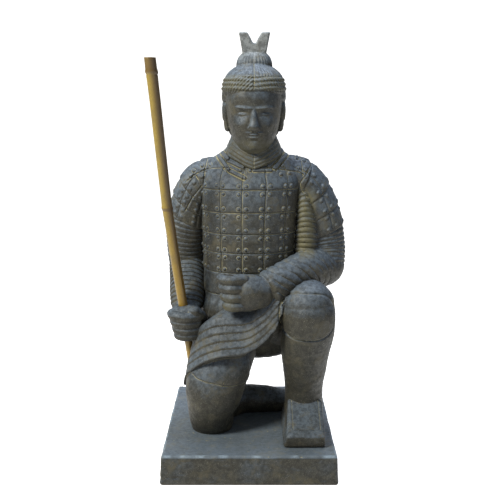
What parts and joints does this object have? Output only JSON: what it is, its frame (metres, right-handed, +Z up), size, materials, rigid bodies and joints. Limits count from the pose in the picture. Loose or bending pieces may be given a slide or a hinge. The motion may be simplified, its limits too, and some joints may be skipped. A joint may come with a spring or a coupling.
{
  "type": "kneeling warrior statue",
  "caption": "Dark cast-stone statue of a kneeling warrior in plate armour on a rectangular slab, holding an upright bamboo cane.",
  "frame": {"origin": "middle of the slab's underside", "axes": "+Z up, -Y the way the warrior faces, +X the warrior's own left, on the viewer's right from the front"},
  "size_m": [0.4534, 0.46, 1.006],
  "materials": {
    "cast_stone": "matte, weathered dark cast stone",
    "bamboo": "satin, dried bamboo"
  },
  "bodies": {
    "root": {"statue": "cast_stone", "bamboo_pole": "bamboo"}
  },
  "joints": []
}
